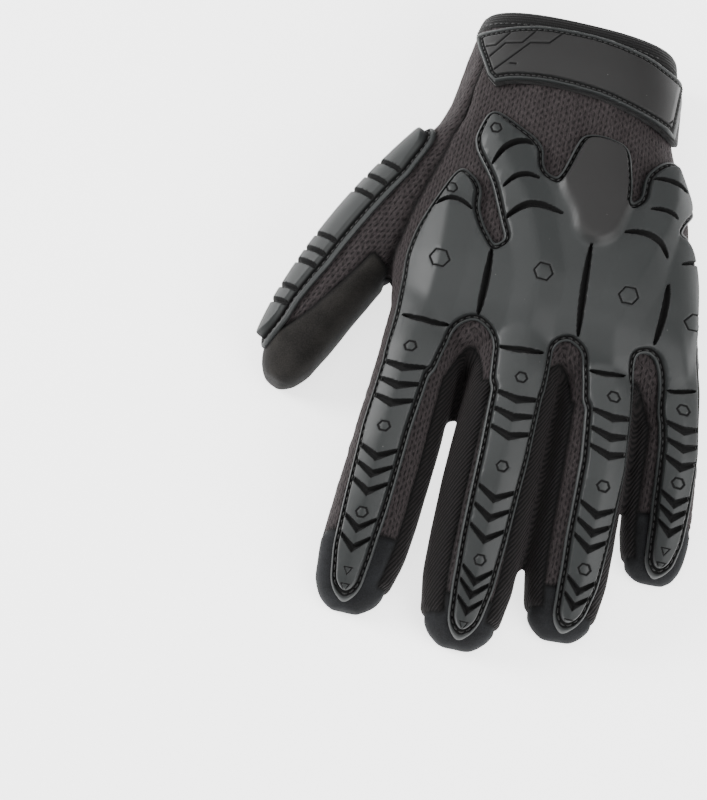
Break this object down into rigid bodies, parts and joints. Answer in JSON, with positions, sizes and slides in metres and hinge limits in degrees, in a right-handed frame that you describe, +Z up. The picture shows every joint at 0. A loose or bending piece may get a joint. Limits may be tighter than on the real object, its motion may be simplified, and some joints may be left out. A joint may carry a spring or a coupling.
{
  "type": "mechanic glove",
  "caption": "Left-hand impact work glove: knitted back, suede palm, moulded rubber guards over knuckles, fingers and thumb, and a strap round the open cuff.",
  "frame": {"origin": "under the middle of the glove's outer size, on the surface that it lies on", "axes": "+Z up off the surface with the palm down, -Y along the fingers, +Y out of the wrist, -X towards the thumb"},
  "size_m": [0.1818, 0.262, 0.0568],
  "materials": {
    "palm_suede": "sueded synthetic leather, dark blue-grey",
    "back_knit": "knitted air mesh, charcoal",
    "side_knit": "ribbed stretch knit, black",
    "cuff_elastic": "woven elastic, black",
    "moulded_rubber": "matt moulded thermoplastic rubber, grey",
    "strap_web": "webbing with hook-and-loop behind, black",
    "patch_rubber": "matt moulded thermoplastic rubber, grey",
    "tab_tape": "folded woven tape, black"
  },
  "bodies": {
    "root": {"palm_panel": "palm_suede", "back_panel": "back_knit", "fourchette_index_middle": "side_knit", "fourchette_middle_ring": "side_knit", "fourchette_ring_little": "side_knit", "thumb_back_panel": "back_knit", "thumb_palm_panel": "palm_suede", "cuff_binding": "cuff_elastic", "knuckle_guard": "moulded_rubber", "thumb_guard": "moulded_rubber", "wrist_strap": "strap_web", "strap_patch": "patch_rubber", "pull_tab": "tab_tape"}
  },
  "joints": []
}
